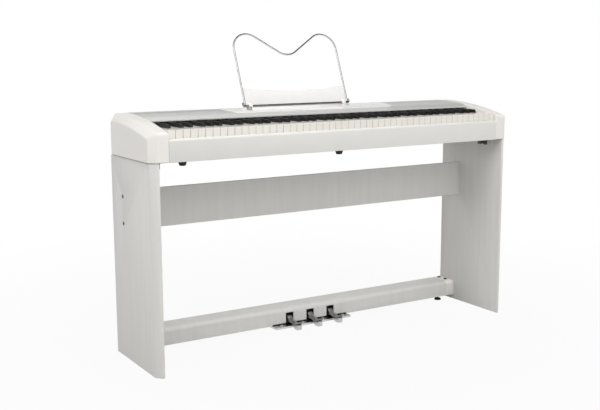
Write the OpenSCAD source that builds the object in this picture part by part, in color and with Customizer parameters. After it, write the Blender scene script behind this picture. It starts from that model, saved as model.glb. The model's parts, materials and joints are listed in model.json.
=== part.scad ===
// Slim digital piano on its matching flat-panel stand, with a three-pedal unit.
// X runs along the keyboard (treble side +X), Y points away from the player, Z is up.
// The origin is on the floor, in the middle of the whole object's footprint.

/* [Keyboard] */
// Pitch of the white keys
white_pitch = 23.5; // [19:0.1:29]
// Gap between neighbouring keys
key_gap = 1.0; // [0.7:0.1:1.4]
// Visible length of a white key, front edge to cover lip
white_len = 143; // [118:1:172]
// Visible length of a black key
black_len = 94; // [78:1:113]
// Width of a black key at its foot
black_w = 11; // [9:0.5:12]
// Height of a black key above the white ones
black_rise = 11; // [9:0.5:13]
// Height of a white key's front lip
key_lip_h = 28; // [24:1:33]
// Depth of a key's hollow body
key_body_h = 20; // [16:1:24]
// Travel of a white key at its front edge
key_travel = 10; // [8:0.5:11]
// Distance from the cover lip back to the key pivot
pivot_back = 81; // [68:1:97]
// Radius of the pivot rod
pivot_r = 2; // [1.5:0.1:2.6]

/* [Case] */
// Width of each end block
block_w = 59; // [49:1:71]
// Side gap between the outer keys and the end blocks
block_gap = 0.75; // [0.5:0.05:1.2]
// Depth of the case, front to back
case_d = 318; // [300:1:381]
// Height of the end blocks at the front
case_front_h = 83; // [76:1:88]
// Height of the case at the back
case_back_h = 123.5; // [118:0.5:148]
// Bevel of the end blocks' outer edges
bevel = 20; // [10:1:24]
// Height of the key tops above the case bottom
key_top_h = 91.5; // [88:0.5:96]
// Wall thickness of the case mouldings
wall = 3; // [2.5:0.1:3.6]
// Height of the key slip along the front
slip_h = 66.5; // [62:0.5:70]
// Thickness of the key slip at its top
slip_t = 8.5; // [7:0.5:10]
// Set-back of the fascia's top edge behind its lip
fascia_lean = 22; // [18:1:26]

/* [Control panel] */
// Half width of the raised control panel
panel_half_w = 300; // [250:5:360]
// Depth of the raised control panel
panel_d = 96; // [90:1:104]
// Height of the panel above the cover
panel_rise = 2.5; // [2:0.1:3]
// Pitch of the small buttons
button_pitch = 17; // [14.5:0.5:20.5]
// Length of a small button
button_l = 12; // [10:0.5:13.5]
// Height of the buttons above the panel
button_rise = 2; // [1.7:0.1:2.4]
// Travel of a button
button_travel = 1.2; // [1:0.1:1.4]
// Radius of the volume knob
knob_r = 9; // [7.5:0.5:11]

/* [Music rest] */
// Half width of the wire frame
rest_half_w = 202; // [168:1:242]
// Height of the two humps along the slope
rest_len = 252; // [235:1:302]
// Height of the dip between the humps
rest_dip = 178; // [165:1:190]
// Radius of the hump bends
hump_r = 55; // [46:1:60]
// Radius of the dip's bend
dip_r = 60; // [50:1:66]
// Radius of the wire
wire_r = 3; // [2.5:0.1:3.6]
// Radius of the bar that the frame turns on
bar_r = 3.5; // [3:0.1:4.2]
// Backward tilt of the rest from upright
rest_tilt = 22; // [15:1:26]
// Height of the music plate along the slope
plate_h = 63; // [53:1:75]
// Dip of the plate's curved top edge
plate_sag = 15; // [12:1:18]

/* [Stand] */
// Height of the legs, floor to case
stand_h = 624.5; // [520:0.5:750]
// Thickness of the leg panels
leg_t = 24; // [20:1:29]
// Inset of the leg panels from the case ends
leg_inset = 4.5; // [3.5:0.5:5.5]
// Bevel of the legs' outer front edges
leg_bevel = 18; // [12:1:19]
// Distance from the case back to the leg back
leg_back_gap = 3.5; // [3:0.5:4]
// Height of the modesty panel
modesty_h = 121; // [101:1:145]
// Height of the modesty panel's lower edge
modesty_z = 402; // [335:1:480]
// Thickness of the modesty panel
modesty_t = 15; // [12.5:0.5:18]
// Distance from the case front to the modesty panel
modesty_back = 221; // [190:1:240]
// Depth of the bottom bar
foot_bar_d = 79; // [72:1:90]
// Height of the bottom bar
foot_bar_h = 55; // [52:1:66]
// Ground clearance of the bottom bar
foot_bar_z = 17.5; // [16:0.5:20]
// Wall thickness of the bottom bar
foot_bar_wall = 3; // [2.5:0.1:3.5]
// Width of the end blocks that join the bar to the legs
bar_block_w = 36; // [32:1:43]

/* [Pedals] */
// Pitch of the pedals
pedal_pitch = 82; // [75:1:98]
// Width of a pedal arm
pedal_w = 20; // [17:1:22]
// Height of a pedal's cast toe
pedal_toe_h = 17; // [14:0.5:20]
// Length of a pedal's toe
pedal_toe_l = 26; // [22:1:31]
// Reach of a pedal in front of the bar
pedal_reach = 66; // [60:1:72]
// Clearance under a pedal's toe
pedal_tip_z = 10.5; // [10:0.5:13]
// Travel of a pedal in degrees
pedal_travel_deg = 3.9; // [3.3:0.1:4]
// Reach of the base plate in front of the bar
base_reach = 26; // [22:1:31]
// Radius of the pedals' shaft
pedal_shaft_r = 3; // [2.5:0.1:3.5]
// Width of a pedal slot in the bar
slot_w = 30; // [28:1:34]

/* [Sockets] */
// Radius of a headphone socket
jack_r = 3.2; // [3.2:0.05:3.3]
// Depth of a socket
jack_depth = 14; // [12:0.5:17]
// Radius of the power inlet
inlet_r = 2.8; // [2.4:0.05:3.3]

/* [Hidden] */
$fn = 48;
eps = 0.01;
run = 0.05;        // radial clearance of a turning fit
clear = 0.4;       // clearance of parts that are stationary near moving ones

WHITES = 52;
SMALL_BUTTONS = 6;
// Shift of a black key's centre from the joint of its white neighbours, in
// the order that starts at A; 0 marks the two joints that have no black key.
BLACK_AFTER = [true, false, true, true, false, true, true];
BLACK_SHIFT = [4, 0, -3.2, 3.2, 0, -4, 0];

keys_w = WHITES * white_pitch;
case_w = keys_w + 2 * (block_gap + block_w);
half_w = case_w / 2;
inner_half = keys_w / 2 + block_gap;
front_y = -case_d / 2;
back_y = case_d / 2;
key_front_y = front_y + slip_t + 1;
lip_y = key_front_y + white_len;
black_front_y = lip_y - black_len;
pivot_y = lip_y + pivot_back;
key_bottom_h = key_top_h - key_body_h;
pivot_h = key_bottom_h + 7;
key_angle = asin(key_travel / (pivot_y - key_front_y));

// The top follows one large arc that is level near the back edge.
level_y = back_y - 9;
top_rise = case_back_h - case_front_h;
top_r = (pow(level_y - front_y, 2) + pow(top_rise, 2)) / (2 * top_rise);
function top_h(y) = case_back_h - top_r + sqrt(pow(top_r, 2) - pow(level_y - y, 2));
function top_slope(y) = asin((level_y - y) / top_r);

lip_h = key_top_h + black_rise + 1;
fascia_y = lip_y + fascia_lean;

leg_out = half_w - leg_inset;
leg_in = leg_out - leg_t;
leg_back_y = back_y - leg_back_gap;
modesty_y = front_y + modesty_back;

bar_back_y = leg_back_y - 1;
bar_front_y = bar_back_y - foot_bar_d;
bar_round = 14;

pedal_x = [-pedal_pitch, 0, pedal_pitch];
pedal_pivot_y = bar_back_y - 18;
pedal_pivot_z = foot_bar_z + 27;
pedal_tip_y = bar_front_y - pedal_reach;
pedal_slot_top = foot_bar_z + 39;
housing_half_w = pedal_pitch + slot_w / 2 + 52;
base_t = 7;
base_top = foot_bar_z;
base_z = base_top - base_t;
base_front_y = bar_front_y - base_reach;
boss_h = 3;

rest_y = back_y - 8;
rest_h = case_back_h + 4.5;
rest_z = stand_h + rest_h;
rest_back_y = rest_y + rest_len * sin(rest_tilt) + wire_r;

// Middle of the footprint, which lies behind the case's own middle.
y_shift = -(front_y + rest_back_y) / 2;

// ---------------------------------------------------------------- helpers

// Everything is drawn about the case's middle, then moved to the footprint's.
module placed() { translate([0, y_shift, 0]) children(); }
module on_case() { translate([0, y_shift, stand_h]) children(); }
module both_sides() { children(); mirror([1, 0, 0]) children(); }
module box(low, high) { translate(low) cube(high - low); }

// A shape drawn in (y, z) and extruded along X from x0 to x1.
module along_x(x0, x1) {
    translate([x0, 0, 0]) rotate([90, 0, 90]) linear_extrude(x1 - x0) children();
}

// A rod between two x positions at (y, z).
module rod_x(r, x0, x1, y, z) {
    translate([x0, y, z]) rotate([0, 90, 0]) cylinder(r = r, h = x1 - x0);
}

// ---------------------------------------------------------------- stand

module leg_panel() {
    linear_extrude(stand_h)
        polygon([
            [leg_in, front_y], [leg_out - leg_bevel, front_y],
            [leg_out, front_y + leg_bevel], [leg_out, leg_back_y], [leg_in, leg_back_y]
        ]);
}

screw_head_r = 6;
screw_shank_r = 3;
screw_len = 34;
leg_screw_y = modesty_y + modesty_t / 2;
modesty_screw_z = [modesty_z + 20, modesty_z + modesty_h - 19];
block_screw_y = [bar_front_y + 30, bar_back_y - 13];
block_screw_x = leg_in - bar_block_w / 2;
bar_screw_len = 22;

module leg_screw_holes() {
    for (z = modesty_screw_z)
        translate([leg_out + eps, leg_screw_y, z]) rotate([0, -90, 0]) {
            cylinder(r = screw_shank_r, h = screw_len);
            cylinder(r = screw_head_r, h = 2 + 2 * eps);
        }
}

module leg() {
    color("whitesmoke") placed() difference() {
        leg_panel();
        leg_screw_holes();
    }
}
module right_leg() { leg(); }
module left_leg() { mirror([1, 0, 0]) leg(); }

module modesty_panel() {
    color("whitesmoke") placed() difference() {
        box([-leg_in, modesty_y, modesty_z], [leg_in, modesty_y + modesty_t, modesty_z + modesty_h]);
        both_sides() leg_screw_holes();
    }
}

module bar_profile(inset) {
    round_r = bar_round - inset;
    y0 = bar_front_y + inset;
    y1 = bar_back_y - inset;
    z0 = foot_bar_z + inset;
    z1 = foot_bar_z + foot_bar_h - inset;
    union() {
        translate([y0, z0]) square([y1 - y0, z1 - z0 - round_r]);
        translate([y0 + round_r, z0]) square([y1 - y0 - round_r, z1 - z0]);
        translate([y0 + round_r, z1 - round_r]) circle(r = round_r);
    }
}

bar_half = leg_in - bar_block_w;

module bottom_bar() {
    color("whitesmoke") placed() difference() {
        along_x(-bar_half, bar_half) bar_profile(0);
        along_x(-bar_half - 1, bar_half + 1) bar_profile(foot_bar_wall);
        box([-housing_half_w - clear, bar_front_y - 1, foot_bar_z - 1],
            [housing_half_w + clear, bar_back_y - foot_bar_wall, foot_bar_z + foot_bar_wall + 1]);
        for (x = pedal_x)
            box([x - slot_w / 2, bar_front_y - 1, foot_bar_z - 1],
                [x + slot_w / 2, bar_front_y + foot_bar_wall + 1, pedal_slot_top]);
        both_sides() translate([bar_half - 22, bar_front_y + 24, foot_bar_z - 1])
            cylinder(r = foot_stud_r + run, h = foot_bar_wall + 2);
    }
}

module bar_end_blocks() {
    color("gainsboro") placed() both_sides() difference() {
        along_x(bar_half, leg_in) bar_profile(0);
        for (y = block_screw_y) translate([block_screw_x, y, foot_bar_z + foot_bar_h - bar_screw_len])
            cylinder(r = screw_shank_r, h = bar_screw_len + 1);
    }
}

module stand_screws() {
    color("dimgray") placed() both_sides() {
        for (z = modesty_screw_z)
            translate([leg_out, leg_screw_y, z]) rotate([0, -90, 0]) difference() {
                union() {
                    cylinder(r = screw_shank_r, h = screw_len - 1);
                    cylinder(r = screw_head_r, h = 2);
                }
                translate([0, 0, -eps]) cylinder(r = 2.5, h = 1.5, $fn = 6);
            }
        for (y = block_screw_y)
            translate([block_screw_x, y, foot_bar_z + foot_bar_h]) difference() {
                union() {
                    translate([0, 0, 1 - bar_screw_len]) cylinder(r = screw_shank_r, h = bar_screw_len - 1);
                    cylinder(r = screw_head_r, h = 3);
                }
                translate([0, 0, 1.5]) cylinder(r = 2.5, h = 2, $fn = 6);
            }
    }
}

foot_pad_r = 13;
foot_pad_h = 6;
foot_stud_r = 4;

module bar_feet() {
    color("black") placed() both_sides()
        translate([bar_half - 22, bar_front_y + 24, 0]) {
            cylinder(r1 = foot_pad_r, r2 = foot_pad_r - 2, h = foot_pad_h);
            cylinder(r = foot_stud_r, h = foot_bar_z + foot_bar_wall + 12);
            translate([0, 0, foot_bar_z - 5]) cylinder(r = foot_stud_r * 1.8, h = 5, $fn = 6);
        }
}

bracket_t = 2.5;
bracket_reach = 40;
bracket_drop = 34;
bracket_y = [front_y + 45, back_y - 75];
bracket_len = 60;
thumb_r = 8;
thumb_shank_r = 2.9;

// The right-hand thumbscrews' places, at the level of the case bottom.
module at_thumbscrews() {
    for (y = bracket_y) for (s = [0.25, 0.75])
        translate([leg_in - bracket_reach / 2 - 2, y + bracket_len * s, 0]) children();
}

module stand_brackets() {
    color("silver") placed() both_sides() for (y = bracket_y) difference() {
        union() {
            box([leg_in - bracket_reach, y, stand_h - bracket_t], [leg_in, y + bracket_len, stand_h]);
            box([leg_in - bracket_t, y, stand_h - bracket_drop], [leg_in, y + bracket_len, stand_h]);
        }
        translate([0, 0, stand_h - bracket_t - 1]) at_thumbscrews()
            cylinder(r = thumb_shank_r + 0.1, h = bracket_t + 2);
    }
}

module thumbscrews() {
    color("dimgray") on_case() both_sides() at_thumbscrews() translate([0, 0, -bracket_t]) {
        translate([0, 0, -14]) cylinder(r = thumb_shank_r, h = 14 + bracket_t + wall + 4);
        translate([0, 0, -5]) cylinder(r = thumb_r, h = 5);
        translate([-1.5, -thumb_r, -20]) cube([3, thumb_r * 2, 15]);
    }
}

// ---------------------------------------------------------------- pedals

module pedal_housing() {
    inner_front = bar_front_y + foot_bar_wall;
    wall_in = 2.5;
    y1 = bar_back_y - foot_bar_wall;
    z1 = foot_bar_z + foot_bar_h - foot_bar_wall - 1;
    color("black") placed() difference() {
        box([-housing_half_w, inner_front, base_top], [housing_half_w, y1, z1]);
        box([-housing_half_w + wall_in, inner_front + wall_in, base_top - 1],
            [housing_half_w - wall_in, y1 - wall_in, z1 - wall_in]);
        for (x = pedal_x)
            box([x - slot_w / 2 + 2, inner_front - 1, base_top - 1],
                [x + slot_w / 2 - 2, inner_front + wall_in + 1, pedal_slot_top - 2]);
        translate([0, bar_round, 0]) difference() {
            box([-housing_half_w - 1, inner_front - bar_round, z1 - bar_round],
                [housing_half_w + 1, inner_front, z1 + 1]);
            rod_x(bar_round, -housing_half_w - 2, housing_half_w + 2, inner_front, z1 - bar_round);
        }
        rod_x(pedal_shaft_r + run, -housing_half_w - 1, housing_half_w + 1, pedal_pivot_y, pedal_pivot_z);
    }
}

base_screw_x = [-1.5 * pedal_pitch, -0.5 * pedal_pitch, 0.5 * pedal_pitch, 1.5 * pedal_pitch];

module pedal_base() {
    color("silver") placed() difference() {
        union() {
            box([-housing_half_w - 2, base_front_y, base_z],
                [housing_half_w + 2, bar_back_y - foot_bar_wall, base_top]);
            for (x = base_screw_x) translate([x, base_front_y + 9, base_z]) cylinder(r = 7, h = base_t + boss_h);
            // lugs that carry the shaft on both sides of each pedal
            for (x = pedal_x) for (s = [-1, 1])
                box([x + s * (pedal_w / 2 + 4.5) - 1.5, pedal_pivot_y - 8, base_top - eps],
                    [x + s * (pedal_w / 2 + 4.5) + 1.5, pedal_pivot_y + 8, pedal_pivot_z + 8]);
        }
        rod_x(pedal_shaft_r + run, -housing_half_w, housing_half_w, pedal_pivot_y, pedal_pivot_z);
        for (x = base_screw_x) translate([x, base_front_y + 9, base_z - 1]) cylinder(r = 2, h = base_t + boss_h + 2);
    }
}

module pedal_base_screws() {
    color("gray") placed() for (x = base_screw_x) translate([x, base_front_y + 9, base_z + 0.5]) {
        cylinder(r = 2, h = base_t + boss_h);
        translate([0, 0, base_t + boss_h - 0.5]) difference() {
            cylinder(r1 = 4.5, r2 = 3.5, h = 2);
            translate([0, 0, 1]) cylinder(r = 1.8, h = 2, $fn = 6);
        }
    }
}

module pedal_shaft() {
    color("silver") placed()
        rod_x(pedal_shaft_r, -housing_half_w + 0.5, housing_half_w - 0.5, pedal_pivot_y, pedal_pivot_z);
}

arm_half_t = 5;
// The arm's underside stays clear of the base plate's front edge when pressed.
arm_under_z = base_top + (pedal_pivot_y - base_front_y) * sin(pedal_travel_deg) + 1;
arm_top_z = pedal_slot_top - 11;
arm_w = pedal_w - 3;
toe_corner_r = 6;
function arm_under(y) = pedal_pivot_z - arm_half_t
    - (pedal_pivot_z - arm_half_t - arm_under_z) * (pedal_pivot_y - y) / (pedal_pivot_y - bar_front_y);

// Arm from the shaft down to a wider cast toe. Side outline in (y, z).
module pedal(x) {
    toe_y = pedal_tip_y + pedal_toe_l;
    toe_top = pedal_tip_z + pedal_toe_h;
    color("gainsboro") placed() translate([x, 0, 0]) difference() {
        union() {
            along_x(-arm_w / 2, arm_w / 2) polygon([
                [pedal_pivot_y, pedal_pivot_z - arm_half_t],
                [bar_front_y, arm_under_z], [base_front_y - 2, arm_under_z],
                [toe_y + 1, pedal_tip_z + 1], [toe_y - 2, pedal_tip_z],
                [toe_y - 2, toe_top], [base_front_y - 6, toe_top + 3], [bar_front_y - 9, arm_top_z - 10],
                [bar_front_y + 2, arm_top_z], [pedal_pivot_y, pedal_pivot_z + arm_half_t]
            ]);
            translate([0, 0, pedal_tip_z]) linear_extrude(pedal_toe_h) union() {
                hull() for (s = [-1, 1])
                    translate([s * (pedal_w / 2 - toe_corner_r), pedal_tip_y + toe_corner_r]) circle(r = toe_corner_r);
                polygon([
                    [-pedal_w / 2, pedal_tip_y + toe_corner_r], [pedal_w / 2, pedal_tip_y + toe_corner_r],
                    [pedal_w / 2, toe_y - 8], [arm_w / 2, toe_y], [-arm_w / 2, toe_y], [-pedal_w / 2, toe_y - 8]
                ]);
            }
            rod_x(7, -arm_w / 2, arm_w / 2, pedal_pivot_y, pedal_pivot_z);
        }
        rod_x(pedal_shaft_r + run, -pedal_w, pedal_w, pedal_pivot_y, pedal_pivot_z);
    }
}
module soft_pedal() { pedal(pedal_x[0]); }
module sostenuto_pedal() { pedal(pedal_x[1]); }
module damper_pedal() { pedal(pedal_x[2]); }

spring_wire = 1;
spring_turns = 4;

// Torsion springs on the shaft, beside each pedal, with one leg on the base.
module pedal_springs() {
    r = pedal_shaft_r + 2.2;
    color("slategray") placed() for (x = pedal_x)
        translate([x + pedal_w / 2 + 8, pedal_pivot_y, pedal_pivot_z]) {
            for (i = [0 : spring_turns - 1])
                translate([i * spring_wire * 1.9, 0, 0]) rotate([0, 90, 0])
                    rotate_extrude($fn = 24) translate([r, 0]) circle(r = spring_wire, $fn = 14);
            translate([0, r, base_top + 0.2 - pedal_pivot_z])
                cylinder(r = spring_wire, h = pedal_pivot_z - base_top, $fn = 16);
        }
}

felt_y = pedal_pivot_y - 30;
// Down-stop felts under the arms, on blocks of the base.
module pedal_felts() {
    felt_top = arm_under(felt_y) - (pedal_pivot_y - felt_y + 6) * sin(pedal_travel_deg) - clear - 2;
    color("firebrick") placed() for (x = pedal_x)
        box([x - arm_w / 2 + 1, felt_y - 5, base_top], [x + arm_w / 2 - 1, felt_y + 5, felt_top]);
}

// ---------------------------------------------------------------- case

// Side outline of the end blocks in (y, h), pulled in by an inset.
module side_outline(inset) {
    steps = 14;
    corner_r = 16;
    low = inset > 0 ? inset : 0;
    y0 = front_y + low;
    y1 = back_y - low;
    arc_end = y1 - corner_r;
    polygon(concat(
        [[y0, 0], [y1, 0]],
        [for (a = [0 : 15 : 90])
            [arc_end + corner_r * cos(a), top_h(arc_end) - corner_r - low + corner_r * sin(a)]],
        [for (i = [steps : -1 : 0])
            let (y = y0 + 3 + (arc_end - y0 - 3) * i / steps) [y, top_h(y) - low]],
        [[y0, top_h(y0) - low - 4]]
    ));
}

module end_block_solid(shrink) {
    hull() {
        along_x(inner_half, half_w - bevel) side_outline(shrink);
        along_x(half_w - shrink - 1, half_w - shrink) side_outline(bevel + shrink / 2);
    }
}

module end_block() {
    color("white") on_case() difference() {
        end_block_solid(0);
        intersection() {
            end_block_solid(wall);
            box([inner_half + wall, front_y, wall], [half_w, back_y, case_back_h]);
        }
        at_thumbscrews() translate([0, 0, -1]) cylinder(r = thumb_shank_r + 0.1, h = wall + 2);
    }
}
module right_end_block() { end_block(); }
module left_end_block() { mirror([1, 0, 0]) end_block(); }

floor_y0 = front_y + wall;
floor_y1 = back_y - wall;
speaker_x = 430;
speaker_y = back_y - 38;
speaker_r = 30;
grille_rows = 4;

module case_bottom() {
    color("whitesmoke") on_case() difference() {
        union() {
            box([-inner_half, floor_y0, 0], [inner_half, floor_y1, wall]);
            // ribs that carry the key frame
            for (y = [key_front_y + 22, pivot_y - 20])
                box([-inner_half + 6, y, wall - eps], [inner_half - 6, y + 5, frame_h]);
        }
        at_case_screws() translate([0, 0, -1]) cylinder(r = 1.6, h = wall + 2);
        both_sides() for (i = [-grille_rows : grille_rows])
            box([speaker_x - 24, speaker_y + i * 6 - 1.2, -1], [speaker_x + 24, speaker_y + i * 6 + 1.2, wall + 1]);
    }
}

module key_slip() {
    r = slip_t - 0.5;
    color("whitesmoke") on_case() along_x(-inner_half, inner_half) difference() {
        union() {
            translate([front_y, 0]) square([slip_t, slip_h - r]);
            translate([front_y + r, 0]) square([slip_t - r, slip_h]);
            intersection() {
                translate([front_y + r, slip_h - r]) circle(r = r);
                translate([front_y, 0]) square([slip_t, slip_h]);
            }
        }
        translate([front_y + wall, wall]) square([slip_t, slip_h - r - wall - 3]);
        translate([front_y + wall, -1]) square([slip_t, wall + 1]);
    }
}

module cover_outline(drop) {
    steps = 12;
    y1 = back_y - drop;
    lip = lip_y + drop;
    top = fascia_y + drop / 2;
    corner_r = 8;
    arc_end = y1 - corner_r;
    polygon(concat(
        [[lip, lip_h + (drop > 0 ? -20 : 0)], [y1, drop > 0 ? -20 : 0]],
        [[y1, top_h(arc_end) - corner_r - drop]],
        [for (a = [15 : 15 : 90])
            [arc_end + corner_r * cos(a), top_h(arc_end) - corner_r - drop + corner_r * sin(a)]],
        [for (i = [steps : -1 : 0]) let (y = top + (arc_end - top) * i / steps) [y, top_h(y) - drop]],
        [[lip, lip_h + 4 - drop]]
    ));
}

module cover_section() {
    difference() {
        union() {
            difference() {
                cover_outline(0);
                cover_outline(wall);
            }
        }
        // open underneath, between the lip and the back wall
        translate([lip_y - 1, -30]) square([back_y - wall - lip_y + 1, 30 + lip_h - 0.01]);
    }
}

socket_x = [-120, -90];
inlet_x = -180;
socket_h = 40;

module socket_cuts(grow) {
    for (x = socket_x)
        translate([x, back_y + 1, socket_h]) rotate([90, 0, 0]) cylinder(r = jack_r + 3 + grow, h = wall + 2);
    translate([inlet_x, back_y + 1, socket_h]) rotate([90, 0, 0]) cylinder(r = inlet_r + 3.5 + grow, h = wall + 2);
}

module top_cover() {
    color("gainsboro") on_case() difference() {
        along_x(-inner_half, inner_half) cover_section();
        socket_cuts(0.1);
        control_wells();
        both_sides() translate([hinge_x, rest_y, case_back_h - 12]) cylinder(r = hinge_pin_r + 0.1, h = 13);
    }
}

// Thickened skin of the top arc between two heights above it, over a plan.
module top_skin(low, high, y0, y1, x0, x1) {
    steps = 10;
    along_x(x0, x1) polygon(concat(
        [for (i = [0 : steps]) let (y = y0 + (y1 - y0) * i / steps) [y, top_h(y) + low]],
        [for (i = [steps : -1 : 0]) let (y = y0 + (y1 - y0) * i / steps) [y, top_h(y) + high]]
    ));
}

panel_y0 = fascia_y + 1;
panel_y1 = panel_y0 + panel_d;

module panel_plan() {
    r = panel_d - 10;
    hull() {
        translate([-panel_half_w + r / 2, panel_y0]) square([2 * panel_half_w - r, 1]);
        translate([-panel_half_w - 12, panel_y1 - 1]) square([2 * panel_half_w + 24, 1]);
        for (s = [-1, 1]) translate([s * (panel_half_w - 16), panel_y0 + 26]) circle(r = 24, $fn = 32);
    }
}

button_y = panel_y0 + 26;
button_w = 6;
button_x0 = 112;
knob_x = -236;
knob_y = panel_y0 + 44;
power_x = -272;
power_r = 6;
well_clear = 0.4;

// Wells of the buttons and the knob, cut square to the top surface.
module tilted_at(x, y) {
    translate([x, y, top_h(y)]) rotate([top_slope(y), 0, 0]) children();
}

module button_body(grow, low, high) {
    translate([-button_l / 2 - grow, -button_w / 2 - grow, low])
        cube([button_l + 2 * grow, button_w + 2 * grow, high - low]);
}

function button_x(i) = button_x0 + i * button_pitch;

module control_wells() {
    for (i = [0 : SMALL_BUTTONS - 1]) tilted_at(button_x(i), button_y) button_body(well_clear, -wall - 3, 8);
    tilted_at(power_x, knob_y) translate([0, 0, -wall - 3]) cylinder(r = power_r + well_clear, h = 12);
    tilted_at(knob_x, knob_y) translate([0, 0, -wall - 3]) cylinder(r = 3 + well_clear, h = 12);
}

module control_panel() {
    color("white") on_case() difference() {
        intersection() {
            top_skin(0.1, panel_rise, panel_y0 - 1, panel_y1 + 1, -panel_half_w - 30, panel_half_w + 30);
            linear_extrude(200) panel_plan();
        }
        control_wells();
    }
}

module small_button(i) {
    color("lightgray") on_case() tilted_at(button_x(i), button_y)
        button_body(0, -wall - 2, panel_rise + button_rise);
}
module button_1() { small_button(0); }
module button_2() { small_button(1); }
module button_3() { small_button(2); }
module button_4() { small_button(3); }
module button_5() { small_button(4); }
module button_6() { small_button(5); }

module power_button() {
    color("lightgray") on_case() tilted_at(power_x, knob_y)
        translate([0, 0, -wall - 2]) cylinder(r = power_r, h = wall + 2 + panel_rise + button_rise);
}

module volume_knob() {
    color("silver") on_case() tilted_at(knob_x, knob_y) difference() {
        union() {
            translate([0, 0, panel_rise + 0.4]) cylinder(r = knob_r, h = 9);
            translate([0, 0, -wall - 2.5]) cylinder(r = 3, h = wall + 2.5 + panel_rise + 1);
        }
        translate([-0.5, knob_r - 4, panel_rise + 8.6]) cube([1, 5, 2]);
    }
}

feet_x = [-565, -30, 573];
feet_y = [front_y + 16, back_y - 22];
feet_h = 12;

module case_feet() {
    color("black") on_case() for (x = feet_x) for (y = feet_y)
        translate([x, y, -feet_h]) cylinder(r1 = 9, r2 = 13, h = feet_h);
}

module at_case_screws() {
    for (x = [-590, -380, -120, 120, 380, 590]) for (y = [front_y + 34, back_y - 60]) translate([x, y, 0]) children();
}

module case_screws() {
    color("silver") on_case() at_case_screws()
        translate([0, 0, -1.4]) difference() {
            union() {
                cylinder(r = 3.5, h = 1.4);
                cylinder(r = 1.5, h = 1.2 + wall);
            }
            translate([0, 0, -eps]) cylinder(r = 1.2, h = 0.9, $fn = 6);
        }
}

// ---------------------------------------------------------------- music rest

hinge_x = rest_half_w - 18;
hinge_w = 14;
hinge_pin_r = 1.7;

// Draws its children on the slope: local X along the bar, local Y up the slope.
module on_rest() {
    translate([0, y_shift + rest_y, rest_z]) rotate([90 - rest_tilt, 0, 0]) children();
}

hump_c = [rest_half_w - hump_r, rest_len - hump_r];
dip_c = [0, rest_dip + dip_r];
link = [hump_c[0] - dip_c[0], dip_c[1] - hump_c[1]];
link_len = norm(link);
// Angle from the hump's centre at which the straight run leaves the bend.
leave_a = 90 - asin((hump_r + dip_r) / link_len) + atan2(link[1], link[0]);

function arc(centre, r, a0, a1, n) = [
    for (i = [0 : n]) let (a = a0 + (a1 - a0) * i / n) centre + r * [cos(a), sin(a)]
];

// Middle line of the frame on the slope, from the right foot to the left one.
wire_path = concat(
    [[rest_half_w, bar_r]],
    arc(hump_c, hump_r, 0, 180 - leave_a, 14),
    arc(dip_c, dip_r, 360 - leave_a, 180 + leave_a, 10),
    arc([-hump_c[0], hump_c[1]], hump_r, leave_a, 180, 14),
    [[-rest_half_w, bar_r]]
);
wire_sides = 16;

// A round wire swept along a flat path, with closed ends.
module flat_wire(path, r, sides) {
    n = len(path);
    rings = [for (i = [0 : n - 1])
        let (d = path[min(i + 1, n - 1)] - path[max(i - 1, 0)], t = d / norm(d))
        for (k = [0 : sides - 1])
            let (a = 360 * (k + 0.5) / sides)
            [path[i][0] - t[1] * r * cos(a), path[i][1] + t[0] * r * cos(a), r * sin(a)]];
    skin_faces = [for (i = [0 : n - 2]) for (k = [0 : sides - 1])
        let (k2 = (k + 1) % sides)
        [(i + 1) * sides + k, (i + 1) * sides + k2, i * sides + k2, i * sides + k]];
    polyhedron(rings, concat(
        skin_faces,
        [[for (k = [0 : sides - 1]) k]],
        [[for (k = [sides - 1 : -1 : 0]) (n - 1) * sides + k]]
    ));
}

module rest_frame() {
    color("silver") on_rest() flat_wire(wire_path, wire_r, wire_sides);
}

module rest_bar() {
    color("dimgray") on_rest() {
        translate([-rest_half_w - 10, 0, 0]) rotate([0, 90, 0]) cylinder(r = bar_r, h = 2 * rest_half_w + 20, $fn = 32);
        both_sides() translate([rest_half_w + 10 - bar_r, 0, 0]) rotate([-90, 0, 0])
            cylinder(r = bar_r, h = 12, $fn = 32);
    }
}

plate_t = 2.5;
module rest_plate() {
    half = rest_half_w - wire_r - 0.2;
    arc_r = (pow(half, 2) + pow(plate_sag, 2)) / (2 * plate_sag);
    color("white") on_rest() translate([0, 0, -plate_t / 2]) linear_extrude(plate_t) difference() {
        translate([-half, bar_r + 0.2]) square([2 * half, plate_h - bar_r]);
        translate([0, plate_h - plate_sag + arc_r]) circle(r = arc_r, $fn = 96);
        for (s = [-1, 1]) translate([s * hinge_x - hinge_w / 2 - 1, 0]) square([hinge_w + 2, 14]);
    }
}

module rest_hinges() {
    color("white") on_case() both_sides() difference() {
        union() {
            intersection() {
                rod_x(7, hinge_x - hinge_w / 2, hinge_x + hinge_w / 2, rest_y, rest_h);
                box([0, 0, case_back_h], [case_w, case_d, case_back_h + 20]);
            }
            box([hinge_x - hinge_w / 2, rest_y - 7, case_back_h], [hinge_x + hinge_w / 2, rest_y + 4, rest_h]);
            translate([hinge_x, rest_y, case_back_h - 9]) cylinder(r = hinge_pin_r, h = 9.5);
        }
        rod_x(bar_r + run, hinge_x - hinge_w, hinge_x + hinge_w, rest_y, rest_h);
    }
}

// ---------------------------------------------------------------- key action

frame_h = 44;
frame_t = 2;
post_t = 4;
end_post_t = 2.6;
tail_end_y = pivot_y + 8;
pivot_inset = 2.5;

function letter(w) = w % 7;
function joint_x(w) = -keys_w / 2 + (w + 1) * white_pitch;
function black_x(w) = joint_x(w) + BLACK_SHIFT[letter(w)];
function has_black(w) = w >= 0 && w < WHITES - 1 && BLACK_AFTER[letter(w)];
// Left and right side of a white key's narrow tail.
function tail_x0(w) = has_black(w - 1) ? black_x(w - 1) + black_w / 2 + key_gap : joint_x(w - 1) + key_gap / 2;
function tail_x1(w) = has_black(w) ? black_x(w) - black_w / 2 - key_gap : joint_x(w) - key_gap / 2;

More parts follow.
